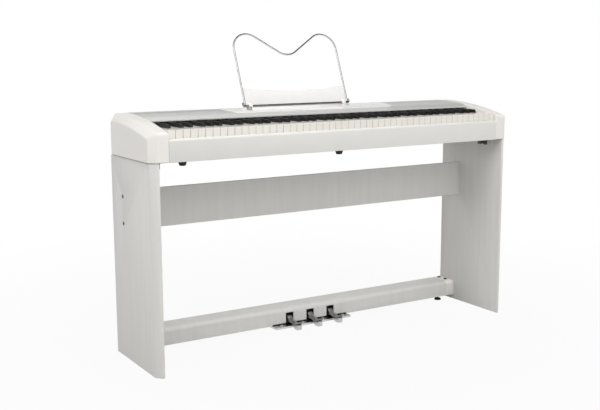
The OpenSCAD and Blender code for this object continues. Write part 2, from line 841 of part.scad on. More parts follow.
skin = 2;

module key_bore() { rod_x(pivot_r + run, -keys_w, keys_w, pivot_y, pivot_h); }

module white_key(w) {
    x0 = joint_x(w - 1) + key_gap / 2;
    x1 = joint_x(w) - key_gap / 2;
    t0 = tail_x0(w);
    t1 = tail_x1(w);
    head_y = black_front_y - key_gap;
    difference() {
        union() {
            box([x0, key_front_y, key_bottom_h], [x1, head_y, key_top_h]);
            box([x0, key_front_y, key_top_h - key_lip_h], [x1, key_front_y + skin, key_top_h]);
            box([t0, head_y - eps, key_bottom_h], [t1, pivot_y - 18, key_top_h]);
            box([t0 + pivot_inset, pivot_y - 18 - eps, key_bottom_h], [t1 - pivot_inset, tail_end_y, pivot_h + 7]);
        }
        box([x0 + skin, key_front_y + skin, key_bottom_h - 1], [x1 - skin, head_y - skin, key_top_h - skin]);
        box([t0 + skin, head_y - skin - 1, key_bottom_h - 1], [t1 - skin, pivot_y - 22, key_top_h - skin]);
        key_bore();
    }
}

module black_key(w) {
    x = black_x(w);
    difference() {
        union() {
            along_x(x - black_w / 2, x + black_w / 2) polygon([
                [black_front_y, key_bottom_h], [black_front_y, key_top_h],
                [black_front_y + 6, key_top_h + black_rise],
                [lip_y + 3, key_top_h + black_rise], [lip_y + 6, key_top_h - 2],
                [pivot_y - 18, key_top_h - 2], [pivot_y - 18, key_bottom_h]
            ]);
            box([x - black_w / 2, pivot_y - 18 - eps, key_bottom_h], [x + black_w / 2, tail_end_y, pivot_h + 7]);
        }
        box([x - black_w / 2 + skin, black_front_y + skin, key_bottom_h - 1],
            [x + black_w / 2 - skin, pivot_y - 22, key_top_h - skin - 2]);
        // sloping flanks of the cap
        both_flanks(x) along_flank();
        key_bore();
    }
}

module both_flanks(x) {
    translate([x, 0, 0]) { children(); mirror([1, 0, 0]) children(); }
}

module along_flank() {
    top_half = black_w / 2 - 1;
    translate([0, black_front_y - 1, 0]) rotate([-90, 0, 0]) mirror([0, 1, 0])
        linear_extrude(lip_y - black_front_y + 8) polygon([
            [black_w / 2, key_top_h + 1], [top_half, key_top_h + black_rise + eps],
            [black_w, key_top_h + black_rise + eps], [black_w, key_top_h + 1]
        ]);
}

module whites(k) {
    color("ivory") on_case() for (w = [k : 7 : WHITES - 1]) white_key(w);
}
module blacks(k) {
    color("black") on_case() for (w = [k : 7 : WHITES - 2]) black_key(w);
}

module keys_a() { whites(0); }
module keys_a_sharp() { blacks(0); }
module keys_b() { whites(1); }
module keys_c() { whites(2); }
module keys_c_sharp() { blacks(2); }
module keys_d() { whites(3); }
module keys_d_sharp() { blacks(3); }
module keys_e() { whites(4); }
module keys_f() { whites(5); }
module keys_f_sharp() { blacks(5); }
module keys_g() { whites(6); }
module keys_g_sharp() { blacks(6); }

down_stop_h = key_bottom_h - key_travel * (pivot_y - key_front_y - 12) / (pivot_y - key_front_y) - clear;
key_felt_t = 4;

module key_frame() {
    y0 = key_front_y + 12;
    y1 = pivot_y + 12;
    rail_w = 16;
    color("silver") on_case() difference() {
        union() {
            box([-inner_half + 6, y0, frame_h], [inner_half - 6, y1, frame_h + frame_t]);
            box([-inner_half + 6, y0, frame_h], [inner_half - 6, y0 + rail_w, down_stop_h - key_felt_t]);
            for (w = [0 : WHITES - 2]) if (!BLACK_AFTER[letter(w)])
                box([joint_x(w) - post_t / 2, pivot_y - 10, frame_h], [joint_x(w) + post_t / 2, y1, pivot_h + 6]);
            both_sides()
                box([inner_half - 0.2 - end_post_t, pivot_y - 10, frame_h], [inner_half - 0.2, y1, pivot_h + 6]);
        }
        rod_x(pivot_r + run, -keys_w, keys_w, pivot_y, pivot_h);
    }
}

module key_rod() {
    color("silver") on_case() rod_x(pivot_r, -inner_half + 0.3, inner_half - 0.3, pivot_y, pivot_h);
}

module key_felts() {
    color("seagreen") on_case()
        box([-inner_half + 8, key_front_y + 13, down_stop_h - key_felt_t],
            [inner_half - 8, key_front_y + 27, down_stop_h]);
}

contact_y = pivot_y - 70;
contact_drop = 70 * sin(key_angle) + 1.2;
module contact_strip() {
    color("darkgreen") on_case() {
        box([-inner_half + 10, contact_y - 14, frame_h + frame_t], [inner_half - 10, contact_y + 14, frame_h + frame_t + 12]);
        box([-inner_half + 10, contact_y - 5, frame_h + frame_t + 12 - eps],
            [inner_half - 10, contact_y + 5, key_bottom_h - contact_drop]);
    }
}

// ---------------------------------------------------------------- electronics

module main_board() {
    y0 = tail_end_y + 6;
    color("darkgreen") on_case() difference() {
        union() {
            box([-260, y0, 8], [60, back_y - wall - 16, 9.6]);
            for (x = [-250, 50]) for (y = [y0 + 5, back_y - wall - 21]) translate([x, y, wall]) cylinder(r = 3, h = 5 + eps);
            box([-200, y0 + 14, 9.5], [-170, y0 + 34, 14]);
            box([-60, y0 + 12, 9.5], [-20, y0 + 32, 13]);
        }
    }
}

module panel_board() {
    y = button_y;
    board_top = -wall - 4.4;
    color("darkgreen") on_case() tilted_at(0, y) {
        translate([-290, -12, board_top - 1.6]) cube([520, 42, 1.6]);
        for (x = [-280, -60, 60, 220]) translate([x, 4, board_top - eps])
            cylinder(r = 3, h = -wall - 0.2 - board_top);
    }
}

module speakers() {
    color("dimgray") on_case() both_sides() translate([speaker_x, speaker_y, wall]) {
        difference() {
            cylinder(r1 = speaker_r, r2 = speaker_r, h = 4);
            translate([0, 0, -eps]) cylinder(r = speaker_r - 5, h = 5);
        }
        difference() {
            translate([0, 0, 2]) cylinder(r1 = speaker_r - 3, r2 = 14, h = 22);
            translate([0, 0, 1.9]) cylinder(r1 = speaker_r - 5, r2 = 12, h = 20);
        }
        translate([0, 0, 22]) cylinder(r = 20, h = 12);
    }
}

module socket_block() {
    depth = jack_depth + 6;
    color("black") on_case() difference() {
        union() {
            box([socket_x[0] - 14, back_y - wall - depth, socket_h - 10], [socket_x[1] + 14, back_y - wall, socket_h + 10]);
            for (x = socket_x)
                translate([x, back_y - 0.2, socket_h]) rotate([90, 0, 0]) cylinder(r = jack_r + 3, h = wall + 1);
        }
        for (x = socket_x)
            translate([x, back_y, socket_h]) rotate([90, 0, 0]) cylinder(r = jack_r, h = jack_depth);
    }
}

module power_inlet() {
    color("black") on_case() difference() {
        union() {
            box([inlet_x - 9, back_y - wall - 14, socket_h - 9], [inlet_x + 9, back_y - wall, socket_h + 9]);
            translate([inlet_x, back_y - 0.2, socket_h]) rotate([90, 0, 0]) cylinder(r = inlet_r + 3.5, h = wall + 1);
        }
        translate([inlet_x, back_y, socket_h]) rotate([90, 0, 0]) cylinder(r = inlet_r, h = 10);
    }
}

// ---------------------------------------------------------------- drawing

left_leg();
right_leg();
modesty_panel();
bottom_bar();
bar_end_blocks();
stand_screws();
bar_feet();
stand_brackets();
thumbscrews();
pedal_housing();
pedal_base();
pedal_base_screws();
pedal_shaft();
pedal_springs();
pedal_felts();
soft_pedal();
sostenuto_pedal();
damper_pedal();
case_bottom();
top_cover();
left_end_block();
right_end_block();
key_slip();
case_feet();
case_screws();
control_panel();
power_button();
volume_knob();
button_1();
button_2();
button_3();
button_4();
button_5();
button_6();
rest_frame();
rest_bar();
rest_plate();
rest_hinges();
key_frame();
key_rod();
key_felts();
contact_strip();
keys_a();
keys_a_sharp();
keys_b();
keys_c();
keys_c_sharp();
keys_d();
keys_d_sharp();
keys_e();
keys_f();
keys_f_sharp();
keys_g();
keys_g_sharp();
main_board();
panel_board();
speakers();
socket_block();
power_inlet();
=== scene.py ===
# %% [markdown]
# # A slim digital piano on its flat-panel stand
# This lesson dresses a finished CAD frame. Every moving part already has its place and its hinge,
# so we only make the surfaces that people see: painted boards, moulded end blocks, 88 keys, a bent
# wire music rest and three cast pedals. All lengths are in metres and Z is up.

# %% Load the frame
import json
import math
import bmesh
import bpy
from mathutils import Matrix, Vector

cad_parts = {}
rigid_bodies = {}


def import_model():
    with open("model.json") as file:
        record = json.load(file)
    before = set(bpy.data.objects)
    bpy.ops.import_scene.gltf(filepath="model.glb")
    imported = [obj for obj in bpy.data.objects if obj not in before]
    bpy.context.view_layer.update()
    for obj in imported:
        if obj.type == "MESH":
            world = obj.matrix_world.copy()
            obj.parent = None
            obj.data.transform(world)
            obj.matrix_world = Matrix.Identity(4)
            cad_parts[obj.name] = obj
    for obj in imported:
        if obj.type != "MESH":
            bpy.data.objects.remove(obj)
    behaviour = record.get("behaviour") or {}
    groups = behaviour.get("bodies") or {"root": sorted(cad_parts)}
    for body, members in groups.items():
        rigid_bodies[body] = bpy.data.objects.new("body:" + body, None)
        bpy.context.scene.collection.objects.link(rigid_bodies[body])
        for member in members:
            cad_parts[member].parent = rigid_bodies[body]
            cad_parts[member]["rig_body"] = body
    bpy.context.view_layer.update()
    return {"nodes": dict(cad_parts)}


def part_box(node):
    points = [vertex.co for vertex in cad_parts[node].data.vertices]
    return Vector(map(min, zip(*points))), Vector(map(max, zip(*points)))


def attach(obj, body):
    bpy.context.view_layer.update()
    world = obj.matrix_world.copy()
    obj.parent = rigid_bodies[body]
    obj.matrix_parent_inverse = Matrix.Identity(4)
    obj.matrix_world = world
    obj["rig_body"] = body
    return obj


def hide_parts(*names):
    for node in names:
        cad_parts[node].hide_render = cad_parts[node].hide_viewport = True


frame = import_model()
MM = 0.001

# %% [markdown]
# ## Camera
# The camera comes first, because every later choice is judged through it. It stands in front of
# the bass end, a little above the keys, and its roll is a fifth of a degree. We build its axes by
# hand from yaw, tilt and roll, since that keeps each angle readable.

# %% Camera
CAMERA_PLACE = Vector((-1.69013, -2.65088, 0.94563))
YAW, DOWN_TILT, ROLL = (math.radians(a) for a in (-31.611, 9.457, -0.201))
camera_data = bpy.data.cameras.new("studio_camera")
camera_data.sensor_width = 36
camera_data.lens = 57.18
camera = bpy.data.objects.new("studio_camera", camera_data)
bpy.context.scene.collection.objects.link(camera)
back = Vector((math.sin(YAW) * math.cos(DOWN_TILT), -math.cos(YAW) * math.cos(DOWN_TILT),
               math.sin(DOWN_TILT)))
level_right = (-back).cross(Vector((0, 0, 1))).normalized()
level_up = level_right.cross(-back)
right = math.cos(ROLL) * level_right + math.sin(ROLL) * level_up
up = -math.sin(ROLL) * level_right + math.cos(ROLL) * level_up
turn = Matrix((right, up, back)).transposed().to_4x4()
camera.matrix_world = Matrix.Translation(CAMERA_PLACE) @ turn
bpy.context.scene.camera = camera
bpy.context.scene.view_settings.view_transform = "Standard"
print("camera at", tuple(CAMERA_PLACE))

# %% [markdown]
# ## Studio
# White furniture on white needs soft light from above and a dimmer fill from the sides, so that
# faces turned away go grey. The world looks white to the camera, but lights the object more gently.
# In glossy reflections alone it has a dark ceiling above the horizon, which draws black lines along
# polished wire. The floor is white paper that keeps a soft shadow.

# %% World
world = bpy.data.worlds.new("soft_studio")
bpy.context.scene.world = world
world.use_nodes = True
sky = world.node_tree
sky.nodes.clear()


def seen_directly(tree):
    """Adds a value that is 1 for camera, glossy and transmission rays, and returns its socket."""
    path = tree.nodes.new("ShaderNodeLightPath")
    total = path.outputs["Is Camera Ray"]
    for name in ("Is Glossy Ray", "Is Transmission Ray"):
        larger = tree.nodes.new("ShaderNodeMath")
        larger.operation = "MAXIMUM"
        tree.links.new(total, larger.inputs[0])
        tree.links.new(path.outputs[name], larger.inputs[1])
        total = larger.outputs[0]
    return total


FILL_STRENGTH = 0.80
white_sky = sky.nodes.new("ShaderNodeBackground")
sky_height = sky.nodes.new("ShaderNodeTexCoord")
sky_axes = sky.nodes.new("ShaderNodeSeparateXYZ")
ceiling = sky.nodes.new("ShaderNodeMapRange")
ceiling.inputs["From Min"].default_value = 0.06
ceiling.inputs["From Max"].default_value = 0.32
gloss_ray = sky.nodes.new("ShaderNodeLightPath")
ceiling_share = sky.nodes.new("ShaderNodeMath")
ceiling_share.operation = "MULTIPLY"
ceiling_colour = sky.nodes.new("ShaderNodeMix")
ceiling_colour.data_type = "RGBA"
ceiling_colour.inputs["A"].default_value = (1, 1, 1, 1)
ceiling_colour.inputs["B"].default_value = (0.02, 0.02, 0.02, 1)
sky.links.new(sky_height.outputs["Generated"], sky_axes.inputs[0])
sky.links.new(sky_axes.outputs["Z"], ceiling.inputs["Value"])
sky.links.new(ceiling.outputs["Result"], ceiling_share.inputs[0])
sky.links.new(gloss_ray.outputs["Is Glossy Ray"], ceiling_share.inputs[1])
sky.links.new(ceiling_share.outputs[0], ceiling_colour.inputs["Factor"])
sky.links.new(ceiling_colour.outputs["Result"], white_sky.inputs["Color"])
fill_sky = sky.nodes.new("ShaderNodeBackground")
fill_sky.inputs["Color"].default_value = (1.0, 0.995, 0.98, 1)
fill_sky.inputs["Strength"].default_value = FILL_STRENGTH
sky_mix = sky.nodes.new("ShaderNodeMixShader")
sky_out = sky.nodes.new("ShaderNodeOutputWorld")
sky.links.new(seen_directly(sky), sky_mix.inputs[0])
sky.links.new(fill_sky.outputs[0], sky_mix.inputs[1])
sky.links.new(white_sky.outputs[0], sky_mix.inputs[2])
sky.links.new(sky_mix.outputs[0], sky_out.inputs["Surface"])
print("world fill", FILL_STRENGTH)

# %% Lamps


def softbox(name, place, aim, size, power):
    """A square area lamp at place that faces aim."""
    data = bpy.data.lights.new(name, "AREA")
    data.size = size
    data.energy = power
    lamp = bpy.data.objects.new(name, data)
    bpy.context.scene.collection.objects.link(lamp)
    lamp.location = place
    lamp.rotation_euler = (Vector(aim) - Vector(place)).to_track_quat("-Z", "Y").to_euler()
    return lamp


softbox("top_softbox", (-0.5, -1.9, 2.9), (0, 0, 0.5), 2.4, 37)
softbox("bass_softbox", (-2.5, -0.8, 2.7), (-0.5, 0, 0.7), 1.3, 15)
softbox("low_front_card", (0.5, -2.7, 0.9), (0.1, 0, 0.45), 1.6, 6)

# %% Floor
FLOOR_HALF = 14.0
floor_mesh = bpy.data.meshes.new("studio_floor")
floor_mesh.from_pydata(
    [(-FLOOR_HALF, -FLOOR_HALF, 0), (FLOOR_HALF, -FLOOR_HALF, 0), (FLOOR_HALF, FLOOR_HALF, 0),
     (-FLOOR_HALF, FLOOR_HALF, 0)], [], [(0, 1, 2, 3)])
floor = bpy.data.objects.new("studio_floor", floor_mesh)
bpy.context.scene.collection.objects.link(floor)
paper = bpy.data.materials.new("pale_paper")
paper.use_nodes = True
paper_tree = paper.node_tree
paper_tree.nodes.clear()
paper_matt = paper_tree.nodes.new("ShaderNodeBsdfDiffuse")
paper_matt.inputs["Color"].default_value = (0.32, 0.32, 0.315, 1)
paper_glow = paper_tree.nodes.new("ShaderNodeEmission")
paper_glow.inputs["Strength"].default_value = 1.0
paper_mix = paper_tree.nodes.new("ShaderNodeMixShader")
paper_share = paper_tree.nodes.new("ShaderNodeMath")
paper_share.operation = "MULTIPLY"
paper_place = paper_tree.nodes.new("ShaderNodeTexCoord")
paper_distance = paper_tree.nodes.new("ShaderNodeVectorMath")
paper_distance.operation = "LENGTH"
paper_fade = paper_tree.nodes.new("ShaderNodeMapRange")
paper_fade.inputs["From Min"].default_value = 0.5
paper_fade.inputs["From Max"].default_value = 2.0
paper_fade.inputs["To Min"].default_value = 0.94
paper_fade.inputs["To Max"].default_value = 1.0
paper_tree.links.new(paper_place.outputs["Object"], paper_distance.inputs[0])
paper_tree.links.new(paper_distance.outputs["Value"], paper_fade.inputs["Value"])
paper_tree.links.new(paper_fade.outputs["Result"], paper_share.inputs[1])
paper_out = paper_tree.nodes.new("ShaderNodeOutputMaterial")
paper_tree.links.new(seen_directly(paper_tree), paper_share.inputs[0])
paper_tree.links.new(paper_share.outputs[0], paper_mix.inputs[0])
paper_tree.links.new(paper_matt.outputs[0], paper_mix.inputs[1])
paper_tree.links.new(paper_glow.outputs[0], paper_mix.inputs[2])
paper_tree.links.new(paper_mix.outputs[0], paper_out.inputs["Surface"])
floor_mesh.materials.append(paper)
print("floor", FLOOR_HALF * 2, "m wide")

# %% [markdown]
# ## Finishes
# Each finish is one Principled shader. Noise on Object coordinates varies its colour and roughness a
# little, and a finer noise drives a bump, such as the orange peel of sprayed paint or the pores of
# rubber. The noise can be stretched, which turns it into brush marks or the drag of a paint roller.

# %% Finish helper


def finish(name, colour, shade, grain=60.0, stretch=(1, 1, 1), rough=(0.4, 0.5), bump=0.05,
           bump_grain=900.0, metal=0.0, coat=0.0, **constants):
    """A Principled finish between two colours, with its own roughness range and fine bump."""
    made = bpy.data.materials.new(name)
    made.use_nodes = True
    tree = made.node_tree
    shader = tree.nodes["Principled BSDF"]
    shader.inputs["Metallic"].default_value = metal
    shader.inputs["Coat Weight"].default_value = coat
    shader.inputs["Coat Roughness"].default_value = 0.12
    for socket, value in constants.items():
        shader.inputs[socket.replace("_", " ")].default_value = value
    place = tree.nodes.new("ShaderNodeTexCoord")
    scale = tree.nodes.new("ShaderNodeMapping")
    scale.inputs["Scale"].default_value = stretch
    broad = tree.nodes.new("ShaderNodeTexNoise")
    broad.inputs["Scale"].default_value = grain
    broad.inputs["Detail"].default_value = 4
    fine = tree.nodes.new("ShaderNodeTexNoise")
    fine.inputs["Scale"].default_value = bump_grain
    fine.inputs["Detail"].default_value = 2
    colours = tree.nodes.new("ShaderNodeValToRGB")
    colours.color_ramp.elements[0].position = 0.3
    colours.color_ramp.elements[0].color = (*shade, 1)
    colours.color_ramp.elements[1].position = 0.7
    colours.color_ramp.elements[1].color = (*colour, 1)
    gloss = tree.nodes.new("ShaderNodeMapRange")
    gloss.inputs["To Min"].default_value = rough[0]
    gloss.inputs["To Max"].default_value = rough[1]
    relief = tree.nodes.new("ShaderNodeBump")
    relief.inputs["Strength"].default_value = bump
    relief.inputs["Distance"].default_value = 0.001
    link = tree.links.new
    link(place.outputs["Object"], scale.inputs["Vector"])
    link(scale.outputs["Vector"], broad.inputs["Vector"])
    link(scale.outputs["Vector"], fine.inputs["Vector"])
    link(broad.outputs["Fac"], colours.inputs["Fac"])
    link(colours.outputs["Color"], shader.inputs["Base Color"])
    link(broad.outputs["Fac"], gloss.inputs["Value"])
    link(gloss.outputs["Result"], shader.inputs["Roughness"])
    link(fine.outputs["Fac"], relief.inputs["Height"])
    link(relief.outputs["Normal"], shader.inputs["Normal"])
    return made


# %% Paints and mouldings
board_paint = finish("board_paint", (0.775, 0.765, 0.75), (0.735, 0.725, 0.71), grain=9, stretch=(6, 6, 0.35),
                     rough=(0.38, 0.5), bump=0.16, bump_grain=420)
satin_white = finish("satin_white", (0.875, 0.85, 0.82), (0.855, 0.83, 0.80), grain=14, rough=(0.32, 0.42),
                     bump=0.07, bump_grain=1500, coat=0.15)
rail_white = finish("rail_white", (0.79, 0.785, 0.76), (0.765, 0.76, 0.735), grain=14, rough=(0.36, 0.44),
                    bump=0.06, bump_grain=1500, coat=0.1)
panel_gloss = finish("panel_gloss", (0.92, 0.91, 0.895), (0.90, 0.89, 0.875), grain=18, rough=(0.2, 0.28),
                     bump=0.03, bump_grain=1700, coat=0.3)
button_grey = finish("button_grey", (0.72, 0.73, 0.74), (0.66, 0.67, 0.68), grain=120, rough=(0.3, 0.4),
                     bump=0.08, bump_grain=2500)
black_moulding = finish("black_moulding", (0.018, 0.018, 0.018), (0.01, 0.01, 0.01), grain=90,
                        rough=(0.42, 0.55), bump=0.2, bump_grain=2200)
rubber = finish("rubber", (0.022, 0.021, 0.02), (0.012, 0.012, 0.012), grain=150, rough=(0.7, 0.85),
                bump=0.35, bump_grain=1300)
milky_sheet = finish("milky_sheet", (0.80, 0.79, 0.79), (0.78, 0.77, 0.77), grain=25, rough=(0.55, 0.65),
                     bump=0.01, bump_grain=400, Specular_IOR_Level=0.25)
print("paints", [m.name for m in bpy.data.materials])

# %% Metals, keys, felt and boards
chrome = finish("chrome", (0.70, 0.705, 0.71), (0.62, 0.625, 0.63), grain=70, rough=(0.2, 0.26), bump=0.004,
                bump_grain=300, metal=1.0)
cast_steel = finish("cast_steel", (0.62, 0.62, 0.615), (0.50, 0.50, 0.50), grain=60,
                    rough=(0.3, 0.42), bump=0.05, bump_grain=900, metal=1.0)
plate_steel = finish("plate_steel", (0.70, 0.70, 0.69), (0.52, 0.52, 0.51), grain=45, stretch=(0.3, 5, 5),
                     rough=(0.16, 0.3), bump=0.06, bump_grain=700, metal=1.0)
dark_steel = finish("dark_steel", (0.10, 0.10, 0.10), (0.055, 0.055, 0.055), grain=140,
                    rough=(0.3, 0.42), bump=0.06, bump_grain=2400, metal=1.0)
spring_steel = finish("spring_steel", (0.36, 0.37, 0.40), (0.24, 0.25, 0.27), grain=240,
                      rough=(0.2, 0.34), bump=0.05, bump_grain=3000, metal=1.0)
rod_finish = finish("rod_finish", (0.42, 0.40, 0.38), (0.30, 0.29, 0.275), grain=110, stretch=(0.2, 4, 4),
                    rough=(0.2, 0.32), bump=0.05, bump_grain=1800, metal=1.0)
key_cream = finish("key_cream", (0.83, 0.80, 0.75), (0.80, 0.77, 0.715), grain=12, rough=(0.16, 0.24),
                   bump=0.025, bump_grain=1600, coat=0.4)
key_ebony = finish("key_ebony", (0.014, 0.013, 0.012), (0.007, 0.007, 0.007), grain=160, stretch=(4, 0.4, 4),
                   rough=(0.34, 0.46), bump=0.12, bump_grain=900)
felt = finish("felt", (0.42, 0.05, 0.05), (0.30, 0.03, 0.035), grain=500, rough=(0.9, 1.0), bump=0.8,
              bump_grain=2200, Sheen_Weight=0.4)
circuit_green = finish("circuit_green", (0.02, 0.16, 0.07), (0.012, 0.10, 0.045), grain=180, rough=(0.3, 0.5),
                       bump=0.15, bump_grain=1500)
print("metals and others", len(bpy.data.materials))

# %% [markdown]
# The top cover is a long silver-grey moulding. Fine holes in its rear half let the sound out. They are not
# cut: the shade inside them is painted into the colour as dark dots, which makes the rear half slightly
# darker.
# Cells of a Voronoi texture on Object coordinates, kept square by a zero randomness, make a regular field of
# these painted dots, and a ramp along Y fades them out towards the keys.

# %% Cover finish
silver_cover = finish("silver_cover", (0.60, 0.605, 0.60), (0.56, 0.565, 0.56), grain=35, stretch=(0.4, 3, 3),
                      rough=(0.3, 0.4), bump=0.06, bump_grain=1800, coat=0.15)
cover_tree = silver_cover.node_tree
cover_shader = cover_tree.nodes["Principled BSDF"]
cover_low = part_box("top_cover")[0]
cover_place = cover_tree.nodes.new("ShaderNodeTexCoord")
cover_axes = cover_tree.nodes.new("ShaderNodeSeparateXYZ")
rear = cover_tree.nodes.new("ShaderNodeMapRange")
rear.inputs["From Min"].default_value = cover_low.y + 0.075
rear.inputs["From Max"].default_value = cover_low.y + 0.079
holes = cover_tree.nodes.new("ShaderNodeTexVoronoi")
holes.inputs["Scale"].default_value = 320
holes.inputs["Randomness"].default_value = 0
hole_shade_mask = cover_tree.nodes.new("ShaderNodeMapRange")
hole_shade_mask.inputs["From Min"].default_value = 0.26
hole_shade_mask.inputs["From Max"].default_value = 0.34
hole_shade_mask.inputs["To Min"].default_value = 1
hole_shade_mask.inputs["To Max"].default_value = 0
hole_shade_share = cover_tree.nodes.new("ShaderNodeMath")
hole_shade_share.operation = "MULTIPLY"
# Painted shade: dark grey dots in the base colour stand in for the shade inside sound holes that are not cut.
dimmer = cover_tree.nodes.new("ShaderNodeMix")
dimmer.data_type = "RGBA"
dimmer.inputs["B"].default_value = (0.20, 0.205, 0.20, 1)
old_colour = cover_shader.inputs["Base Color"].links[0].from_socket
cover_link = cover_tree.links.new
cover_link(cover_place.outputs["Object"], cover_axes.inputs[0])
cover_link(cover_place.outputs["Object"], holes.inputs["Vector"])
cover_link(cover_axes.outputs["Y"], rear.inputs["Value"])
cover_link(holes.outputs["Distance"], hole_shade_mask.inputs["Value"])
cover_link(rear.outputs["Result"], hole_shade_share.inputs[0])
cover_link(hole_shade_mask.outputs["Result"], hole_shade_share.inputs[1])
cover_link(hole_shade_share.outputs[0], dimmer.inputs["Factor"])
cover_link(old_colour, dimmer.inputs["A"])
cover_link(dimmer.outputs["Result"], cover_shader.inputs["Base Color"])
print("cover finish with", len(cover_tree.nodes), "nodes")

# %% [markdown]
# ## Softened copies
# Real boards and mouldings never have knife edges. For a CAD part whose shape is right we copy its
# mesh, join its loose triangles, dissolve the flat ones, and bevel every corner with hardened
# normals. The copy then stands for the CAD part, which stays behind, hidden.

# %% Copy, bevel and bake helpers


def add_piece(name, mesh, material=None, smooth=True):
    """Links a finished mesh as an object at the origin."""
    made = bpy.data.objects.new(name, mesh)
    bpy.context.scene.collection.objects.link(made)
    if material is not None:
        mesh.materials.clear()
        mesh.materials.append(material)
    for face in mesh.polygons:
        face.use_smooth = smooth
        face.material_index = 0
    return made


def bake(piece):
    """Turns a piece and its modifiers into one plain mesh."""
    bpy.context.view_layer.update()
    depsgraph = bpy.context.evaluated_depsgraph_get()
    result = bpy.data.meshes.new_from_object(piece.evaluated_get(depsgraph))
    piece.modifiers.clear()
    piece.data = result
    return piece


def round_edges(piece, width, segments=2, angle=28):
    """Bevels the corners of a piece and bakes it."""
    bevel = piece.modifiers.new("rounded_edges", "BEVEL")
    bevel.width = width
    bevel.segments = segments
    bevel.limit_method = "ANGLE"
    bevel.angle_limit = math.radians(angle)
    bevel.use_clamp_overlap = False
    bevel.harden_normals = True
    return bake(piece)


def body_of_node(node):
    """The name of the body that a CAD node rides on."""
    return frame["nodes"][node]["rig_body"]


def stand_for(piece, *nodes):
    """Puts a piece in the place of CAD nodes, on the first node's body, and hides the nodes."""
    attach(piece, body_of_node(nodes[0]))
    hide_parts(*nodes)
    return piece


def soften(node, name, material, width, segments=2, angle=28):
    """A copy of a CAD node with joined triangles and rounded edges."""
    work = bmesh.new()
    work.from_mesh(frame["nodes"][node].data)
    bmesh.ops.remove_doubles(work, verts=work.verts, dist=2e-5)
    bmesh.ops.dissolve_limit(work, angle_limit=math.radians(0.4), verts=work.verts, edges=work.edges)
    mesh = bpy.data.meshes.new(name)
    work.to_mesh(mesh)
    work.free()
    piece = add_piece(name, mesh, material)
    round_edges(piece, width, segments, angle)
    return stand_for(piece, node)


print("nodes to dress:", len(frame["nodes"]))

# %% [markdown]
# ## Stand boards
# The legs, the modesty panel between them and the bottom bar are sprayed boards. Their corners are
# eased by a millimetre or so, which catches a thin line of light along each edge. Lowering each
# leg's top edge by a hair leaves the dark joint line under the case. The bar ends in two slightly
# paler blocks that screw to the legs.

# %% Legs, modesty panel and bar
TOP_JOINT = 1.6 * MM
for node in ("left_leg", "right_leg"):
    leg = soften(node, node + "_board", board_paint, 1.6 * MM, 3)
    leg_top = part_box(node)[1].z
    for vertex in leg.data.vertices:
        if vertex.co.z > leg_top - 2.5 * MM:
            vertex.co.z -= TOP_JOINT
soften("modesty_panel", "modesty_board", board_paint, 1.0 * MM)
soften("bottom_bar", "bottom_bar_shell", board_paint, 0.7 * MM)
soften("bar_end_blocks", "bar_end_mouldings", satin_white, 1.2 * MM)
soften("bar_feet", "bar_glides", rubber, 0.8 * MM)
soften("stand_brackets", "stand_angle_plates", board_paint, 0.5 * MM)
soften("thumbscrews", "thumb_turned_screws", dark_steel, 0.6 * MM)
print("stand boards done")

# %% [markdown]
# ## Geometry Nodes helpers
# Several things on this piano repeat or follow a path: screws, keys, knurls and wires. A Geometry Nodes
# tree makes each of them from a few named inputs. The helper below builds a tree's inputs, and
# the next one runs a tree once and keeps its result as a plain mesh.

# %% Tree helpers


def new_tree(name, inputs):
    """An empty Geometry Nodes tree with named inputs; returns the tree, its input and output."""
    tree = bpy.data.node_groups.new(name, "GeometryNodeTree")
    tree.interface.new_socket("Geometry", in_out="INPUT", socket_type="NodeSocketGeometry")
    for label, kind in inputs:
        tree.interface.new_socket(label, in_out="INPUT", socket_type="NodeSocket" + kind)
    tree.interface.new_socket("Geometry", in_out="OUTPUT", socket_type="NodeSocketGeometry")
    return tree, tree.nodes.new("NodeGroupInput"), tree.nodes.new("NodeGroupOutput")


def end_tree(tree, entry, leave, geometry):
    """Ends a tree in Realize Instances, smooth shading and Set Material."""
    realize = tree.nodes.new("GeometryNodeRealizeInstances")
    smooth = tree.nodes.new("GeometryNodeSetShadeSmooth")
    paint = tree.nodes.new("GeometryNodeSetMaterial")
    tree.links.new(geometry, realize.inputs["Geometry"])
    tree.links.new(realize.outputs["Geometry"], smooth.inputs["Geometry"])
    tree.links.new(smooth.outputs["Geometry"], paint.inputs["Geometry"])
    tree.links.new(entry.outputs["Finish"], paint.inputs["Material"])
    tree.links.new(paint.outputs["Geometry"], leave.inputs["Geometry"])


def run_tree(tree, name, base_mesh, values):
    """Runs a tree on a mesh with the given inputs and bakes the result."""
    piece = add_piece(name, base_mesh)
    modifier = piece.modifiers.new(tree.name, "NODES")
    modifier.node_group = tree
    for item in tree.interface.items_tree:
        if item.in_out == "INPUT" and item.name in values:
            modifier[item.identifier] = values[item.name]
    bake(piece)
    print(name, "->", len(piece.data.polygons), "faces")
    return piece


def drop(*pieces):
    """Removes template objects once their shapes have been used."""
    for piece in pieces:
        bpy.data.objects.remove(piece)


# %% [markdown]
# ## Stand screws
# Eight socket-head screws hold the stand: two through each leg into the modesty panel, and two down
# into each end block of the bar. One head is modelled with its hexagon recess. The tree
# then sets a copy on every point and turns it to that point's own direction.

